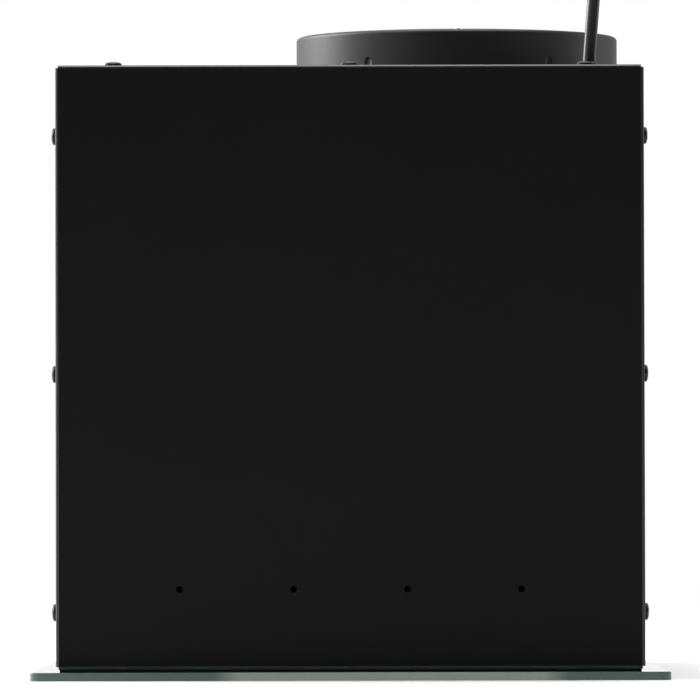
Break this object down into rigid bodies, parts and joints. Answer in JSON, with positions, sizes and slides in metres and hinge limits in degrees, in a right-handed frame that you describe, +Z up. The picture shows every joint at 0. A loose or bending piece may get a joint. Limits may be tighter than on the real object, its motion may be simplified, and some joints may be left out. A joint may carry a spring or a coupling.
{
  "type": "ducted fume extractor",
  "caption": "Box-type ducted fume extractor: folded black case on a glass plate, round duct collar with flaps, centrifugal fan, mesh and carbon filters, lamps, mains lead.",
  "frame": {"origin": "centre of the glass plate's underside, on the surface the unit rests on", "axes": "+X along the width towards the end by the lead's exit, +Y to the rear, +Z up"},
  "size_m": [0.6351, 0.304, 0.3549],
  "materials": {
    "black_powder_coat": "fine-textured satin black powder coat",
    "black_screw": "black zinc",
    "galvanised": "galvanised sheet",
    "bright_zinc": "bright zinc plate",
    "tempered_glass": "clear float glass, polished edge",
    "foam_rubber": "closed-cell foam",
    "filter_aluminium": "satin anodised",
    "filter_mesh": "expanded mesh",
    "filter_fibre": "knitted metal fibre, mostly air",
    "black_moulding": "moulded, fine matt",
    "carbon": "activated carbon in fibre",
    "circuit_board": "solder mask",
    "lamp_metal": "satin",
    "lamp_lens": "frosted",
    "housing_plastic": "moulded polypropylene",
    "motor_steel": "pressed, zinc plated",
    "laminations": "stacked laminations",
    "capacitor_plastic": "moulded can",
    "collar_plastic": "moulded dark grey",
    "cord_pvc": "black PVC",
    "plug_nickel": "nickel plate"
  },
  "bodies": {
    "casing": {"casing_wrap": "black_powder_coat", "end_cover_right": "black_powder_coat", "end_cover_left": "black_powder_coat", "cover_screws_right": "black_screw", "cover_screws_left": "black_screw", "base_rivets": "black_screw", "base_frame": "galvanised", "carbon_rail_front": "galvanised", "carbon_rail_rear": "galvanised", "filter_hinges": "galvanised", "motor_bracket": "galvanised", "glass_fixings": "bright_zinc", "glass_nuts": "bright_zinc", "volute_screws": "bright_zinc", "motor_screws": "bright_zinc", "collar_screws": "bright_zinc", "flap_spindle": "bright_zinc", "glass_plate": "tempered_glass", "glass_gasket": "foam_rubber", "motor_mounts": "foam_rubber", "carbon_frame": "black_moulding", "control_bezel": "black_moulding", "switch_block": "black_moulding", "terminal_box": "black_moulding", "terminal_lid": "black_moulding", "carbon_mat": "carbon", "control_board": "circuit_board", "lamp_bezels": "lamp_metal", "lamp_boards": "lamp_metal", "lamp_lenses": "lamp_lens", "volute_left": "housing_plastic", "volute_right": "housing_plastic", "motor_bell_front": "motor_steel", "motor_bell_rear": "motor_steel", "motor_bearings": "motor_steel", "stator_pack": "laminations", "run_capacitor": "capacitor_plastic", "duct_collar": "collar_plastic", "cord_grommet": "cord_pvc", "mains_cord": "cord_pvc", "cord_coil": "cord_pvc", "cord_tail": "cord_pvc", "cord_tie": "cord_pvc", "plug_body": "cord_pvc", "plug_pins": "plug_nickel"},
    "fan": {"impeller": "housing_plastic", "motor_shaft": "bright_zinc", "rotor_core": "laminations"},
    "front_flap": {"flap_front": "collar_plastic"},
    "rear_flap": {"flap_rear": "collar_plastic"},
    "filter_cassette": {"filter_frame": "filter_aluminium", "filter_mesh": "filter_mesh", "filter_pad": "filter_fibre", "latch_spring": "bright_zinc"},
    "latch": {"filter_latch": "black_moulding"},
    "button_off_body": {"button_off": "black_moulding"},
    "button_low_body": {"button_low": "black_moulding"},
    "button_mid_body": {"button_mid": "black_moulding"},
    "button_high_body": {"button_high": "black_moulding"},
    "button_lamp_body": {"button_lamp": "black_moulding"}
  },
  "joints": [
    {"name": "fan_spin", "type": "hinge", "parent": "casing", "child": "fan", "pos_m": [0, -0.0169, 0.16], "axis": [1, 0, 0], "continuous": true},
    {"name": "front_flap_hinge", "type": "hinge", "parent": "casing", "child": "front_flap", "pos_m": [0, 0.0545, 0.3192], "axis": [-1, 0, 0], "range_deg": [0, 80]},
    {"name": "rear_flap_hinge", "type": "hinge", "parent": "casing", "child": "rear_flap", "pos_m": [0, 0.0545, 0.3192], "axis": [1, 0, 0], "range_deg": [0, 80]},
    {"name": "filter_hinge", "type": "hinge", "parent": "casing", "child": "filter_cassette", "pos_m": [-0.1825, 0, 0.0055], "axis": [0, 1, 0], "range_deg": [0, 85]},
    {"name": "latch_slide", "type": "slide", "parent": "filter_cassette", "child": "latch", "axis": [-1, 0, 0], "range_m": [0, 0.006], "stiffness_N_per_m": 300, "springref_m": -0.004},
    {"name": "button_off_press", "type": "slide", "parent": "casing", "child": "button_off_body", "axis": [0, 0, 1], "range_m": [0, 0.0025], "stiffness_N_per_m": 400, "springref_m": -0.002},
    {"name": "button_low_press", "type": "slide", "parent": "casing", "child": "button_low_body", "axis": [0, 0, 1], "range_m": [0, 0.0025], "stiffness_N_per_m": 400, "springref_m": -0.002},
    {"name": "button_mid_press", "type": "slide", "parent": "casing", "child": "button_mid_body", "axis": [0, 0, 1], "range_m": [0, 0.0025], "stiffness_N_per_m": 400, "springref_m": -0.002},
    {"name": "button_high_press", "type": "slide", "parent": "casing", "child": "button_high_body", "axis": [0, 0, 1], "range_m": [0, 0.0025], "stiffness_N_per_m": 400, "springref_m": -0.002},
    {"name": "button_lamp_press", "type": "slide", "parent": "casing", "child": "button_lamp_body", "axis": [0, 0, 1], "range_m": [0, 0.0025], "stiffness_N_per_m": 400, "springref_m": -0.002}
  ]
}
